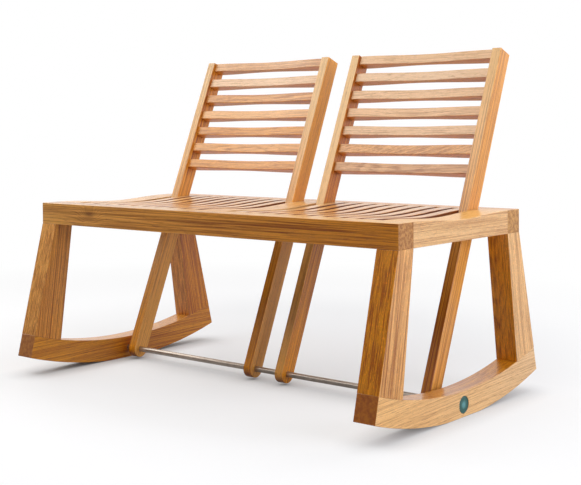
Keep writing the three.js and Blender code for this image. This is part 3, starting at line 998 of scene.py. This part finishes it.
def makeCapPlastic():
    # Teal plastic, paler in the middle, with fine turning marks
    material, tree = newMaterial("tealCapPlastic")
    place = tree.nodes.new("ShaderNodeTexCoord").outputs["Object"]
    centred = addNode(tree, "ShaderNodeMapping", {
        "Vector": place, "Location": (0, -middleY, -backs["rodHeight"]),
    }).outputs[0]
    flat = vectorMaths(tree, "MULTIPLY", centred, (0, 1, 1))
    radius = vectorMaths(tree, "LENGTH", flat)
    mottle = noiseOf(tree, centred, capLook["mottle"], 3.0)
    turned = noiseOf(tree, combine(tree, radius), capLook["turning"], 2.0)
    pale = between(tree, radius, capLook["middle"], capLook["edge"], 1.0, 0.0)
    mottle = maths(tree, "SUBTRACT", mottle, 0.5)
    share = maths(tree, "MULTIPLY_ADD", mottle, 0.8, pale, clamp=True)
    colour = blend(tree, share, capLook["dark"], capLook["light"])
    rough = maths(tree, "MULTIPLY_ADD", turned, 0.20, 0.28)
    endMaterial(tree, colour, rough, turned, strength=0.2, depth=0.00008)
    return material


capPlastic = makeCapPlastic()

rod = {"radius": 0.007, "bodyReach": 0.554, "threadRadius": 0.006, "chamfer": 0.0008}


def addRod():
    low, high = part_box("pivot_rod")
    end, thread, body = high.x, rod["threadRadius"], rod["bodyReach"]
    half = [(body - rod["chamfer"], rod["radius"]), (body, rod["radius"] - rod["chamfer"]),
            (body, thread), (end - rod["chamfer"], thread), (end, thread - rod["chamfer"]),
            (end, 0)]
    profile = [(-x, r) for x, r in reversed(half)] + half
    piece = turnedOnRod("rod_bar", profile)
    piece.data.materials.append(rodSteel)
    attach(piece, "frame")
    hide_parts("pivot_rod")


caps = {
    "radius": 0.01925,
    "thickness": 0.004,
    "rim": 0.0022,
    "recess": 0.0008,
    "sink": 0.0003,     # below the rocker's face
    "round": 0.0008,
    "middle": 0.7,      # share of the recess's depth in the middle, where it rises a little
    "steps": 5,
    "sides": 96,
}


def addCap(word, side):
    face = seat["halfWidth"] - caps["sink"]
    radius, floor = caps["radius"], caps["radius"] - caps["rim"]
    back, edge, recess = -caps["thickness"], caps["round"], caps["recess"]
    angles = [math.pi / 2 * k / caps["steps"] for k in range(caps["steps"] + 1)]
    profile = [(back, 0), (back, radius - edge), (back + edge, radius)]
    profile += [(edge * (math.sin(a) - 1), radius + edge * (math.cos(a) - 1)) for a in angles]
    profile += [(recess * (math.cos(a) - 1), floor + recess * (1 - math.sin(a))) for a in angles]
    profile.append((-recess * caps["middle"], 0))
    placed = [(side * (face + x), r) for x, r in profile]
    piece = turnedOnRod("cap_%s_disc" % word, placed, caps["sides"])
    piece.data.materials.append(capPlastic)
    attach(piece, "frame")
    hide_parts("cap_" + word)


addRod()
for word, side in (("left", -1), ("right", 1)):
    addCap(word, side)
    for name in ("rod_washer_" + word, "rod_nut_" + word):
        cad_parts[name].data.materials.clear()
        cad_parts[name].data.materials.append(nutSteel)
print("rod and caps made")

# Studio: white floor and surroundings, with shadows painted on the floor near the bench; soft lamps
# from behind, above and the right

studio = {
    "floorSize": 14.0,
    "floorLevel": -0.0004,
    "floorColour": (0.45, 0.453, 0.47, 1),
    "floorBounce": (0.42, 0.42, 0.43, 1),
    "floorLift": 0.52,
    # Painted shadow: ambient occlusion darkens the floor's glow near the bench, within this reach
    "paintedContactReach": 0.075,
    "clearMiddle": (-0.60, 0.00, 0),
    "clearFrom": 0.80,      # from here outwards the floor turns into the white background
    "clearTo": 2.3,
    # Painted shadow: a patch of floor under and behind the bench is painted darker
    "shade": 0.085,         # how much darker the floor is under the bench and behind it
    "paintedShadowMiddle": (-0.35, 0.45, 0),
    "paintedShadowFrom": 0.50,
    "paintedShadowTo": 1.10,
    "backdrop": (-0.46, 0.85, 0.25),
    "backdropEdge": (-0.2, 0.5),
    "floorReflected": 0.45,
    "room": 0.12,           # brightness of the room opposite the backdrop, in reflections
}
lamps = {       # place, aim, size, power and colour
    "above": ((0, 1.2, 2.6), (0, 0, 0.4), (2.2, 1.2), 22, (1, 1, 1)),
    "aboveFront": ((0, -1.7, 2.5), (0, 0, 0.4), (2.4, 1.4), 34, (1, 0.98, 0.93)),
    "frontLeft": ((-1.75, -1.45, 2.1), (0, 0.2, 0.6), (1.5, 1.3), 19, (1, 1, 1)),
    "leftHigh": ((-2.4, 0.2, 2.1), (0, 0, 0.4), (2.4, 2.0), 38, (1, 0.98, 0.93)),
    "rightHigh": ((2.3, 0, 1.9), (0, 0, 0.4), (1.6, 1.6), 15, (0.98, 1, 1.05)),
    "rightLow": ((3.2, 0.4, 0.8), (0, 0, 0.3), (1.8, 1.4), 42, (0.97, 1, 1.08)),
    "rightWide": ((3, 0.2, 0.9), (0, 0, 0.3), (5, 1.2), 22, (0.97, 1, 1.08)),
    "rear": ((0.6, 2.9, 1.6), (0, 0, 0.4), (2.4, 1.6), 20, (1, 1, 1)),
}


def seenWhite(tree, direction, reflected=1.0):
    # 1 for the rays that see the white background: camera and transmitted rays, and glossy rays
    # towards the backdrop. Glossy rays the other way see the dim room that a studio has there.
    path = tree.nodes.new("ShaderNodeLightPath").outputs
    backdrop = Vector(studio["backdrop"]).normalized()
    facing = vectorMaths(tree, "DOT_PRODUCT", direction, backdrop)
    room = between(tree, facing, *studio["backdropEdge"], studio["room"], 1.0)
    room = maths(tree, "MULTIPLY", room, reflected)
    glossy = maths(tree, "MULTIPLY", path["Is Glossy Ray"], room)
    direct = maths(tree, "MAXIMUM", path["Is Camera Ray"], path["Is Transmission Ray"])
    return maths(tree, "MAXIMUM", direct, glossy)


def addFloor():
    half = studio["floorSize"] / 2
    corners = [(x * half, y * half, studio["floorLevel"])
               for x, y in ((-1, -1), (1, -1), (1, 1), (-1, 1))]
    floor = meshFrom("studio_floor", corners, [(0, 1, 2, 3)])
    material, tree = newMaterial("studioFloor")
    node, _, times, timesPlus, _ = shortNames(tree)
    place = node("ShaderNodeTexCoord").outputs["Object"]
    white = seenWhite(tree, vectorMaths(tree, "NORMALIZE", place), studio["floorReflected"])
    seen = node("ShaderNodeLightPath").outputs["Is Camera Ray"]
    colour = blend(tree, seen, studio["floorBounce"], studio["floorColour"])
    plain = node("ShaderNodeBsdfDiffuse", {"Color": colour})
    # Painted shadow: ambient occlusion near the bench and a darker patch under and behind it take
    # light off the floor's glow
    reach = {"Distance": studio["paintedContactReach"]}
    paintedContactShadow = node("ShaderNodeAmbientOcclusion", reach, samples=8).outputs["AO"]
    fromPaintedShadow = vectorMaths(tree, "DISTANCE", place, studio["paintedShadowMiddle"])
    outsidePaintedShadow = between(tree, fromPaintedShadow, studio["paintedShadowFrom"], studio["paintedShadowTo"])
    liftWithPaintedShadow = timesPlus(outsidePaintedShadow, studio["shade"], studio["floorLift"] - studio["shade"])
    glow = node("ShaderNodeEmission", {"Strength": times(white, times(paintedContactShadow, liftWithPaintedShadow))})
    close = node("ShaderNodeAddShader", {0: plain.outputs[0], 1: glow.outputs[0]})
    far = node("ShaderNodeEmission", {"Strength": 1.0})
    fromClear = vectorMaths(tree, "DISTANCE", place, studio["clearMiddle"])
    clear = between(tree, fromClear, studio["clearFrom"], studio["clearTo"])
    share = times(white, clear)
    both = node("ShaderNodeMixShader", {0: share, 1: close.outputs[0], 2: far.outputs[0]})
    node("ShaderNodeOutputMaterial", {0: both.outputs[0]})
    floor.data.materials.append(material)


def addSurroundings():
    world = bpy.data.worlds.new("studioWorld")
    bpy.context.scene.world = world
    world.use_nodes = True
    tree = world.node_tree
    tree.nodes.clear()
    direction = tree.nodes.new("ShaderNodeTexCoord").outputs["Generated"]
    white = addNode(tree, "ShaderNodeBackground", {"Color": (1, 1, 1, 1), "Strength": 1.0})
    black = addNode(tree, "ShaderNodeBackground", {"Color": (0, 0, 0, 1)})
    either = addNode(tree, "ShaderNodeMixShader", {
        0: seenWhite(tree, direction), 1: black.outputs[0], 2: white.outputs[0],
    })
    addNode(tree, "ShaderNodeOutputWorld", {0: either.outputs[0]})


def addLamps():
    for word, (place, aim, size, power, colour) in lamps.items():
        lamp = bpy.data.lights.new("lamp_" + word, "AREA")
        lamp.shape = "RECTANGLE"
        lamp.size, lamp.size_y = size
        lamp.energy, lamp.color = power, colour
        holder = addObject("lamp_" + word, lamp)
        holder.location = place
        towards = Vector(aim) - Vector(place)
        holder.rotation_euler = towards.to_track_quat("-Z", "Y").to_euler()


addFloor()
addSurroundings()
addLamps()

camera = {
    "place": (1.90039, -2.17332 + middleY, 0.64813),
    "turn": 0.6839,      # to the left of straight ahead, in radians
    "pitch": 0.0211,
    "roll": 0.0067,
    "lens": 70.96,
    "sensor": 36,
    "shift": (-0.02697, -0.16045),
}


def addCamera():
    data = bpy.data.cameras.new("camera")
    data.sensor_width, data.lens = camera["sensor"], camera["lens"]
    data.shift_x, data.shift_y = camera["shift"]
    holder = addObject("camera", data)
    turn, pitch, roll = camera["turn"], camera["pitch"], camera["roll"]
    level = math.cos(pitch)
    forward = Vector((-math.sin(turn) * level, math.cos(turn) * level, -math.sin(pitch)))
    right = Vector((math.cos(turn), math.sin(turn), 0))
    down = forward.cross(right)
    rolledRight = math.cos(roll) * right + math.sin(roll) * down
    rolledDown = -math.sin(roll) * right + math.cos(roll) * down
    axes = Matrix((rolledRight, -rolledDown, -forward)).transposed().to_4x4()
    holder.matrix_world = Matrix.Translation(camera["place"]) @ axes
    bpy.context.scene.camera = holder


addCamera()
bpy.context.scene.view_settings.view_transform = "Standard"
print("studio and camera made")
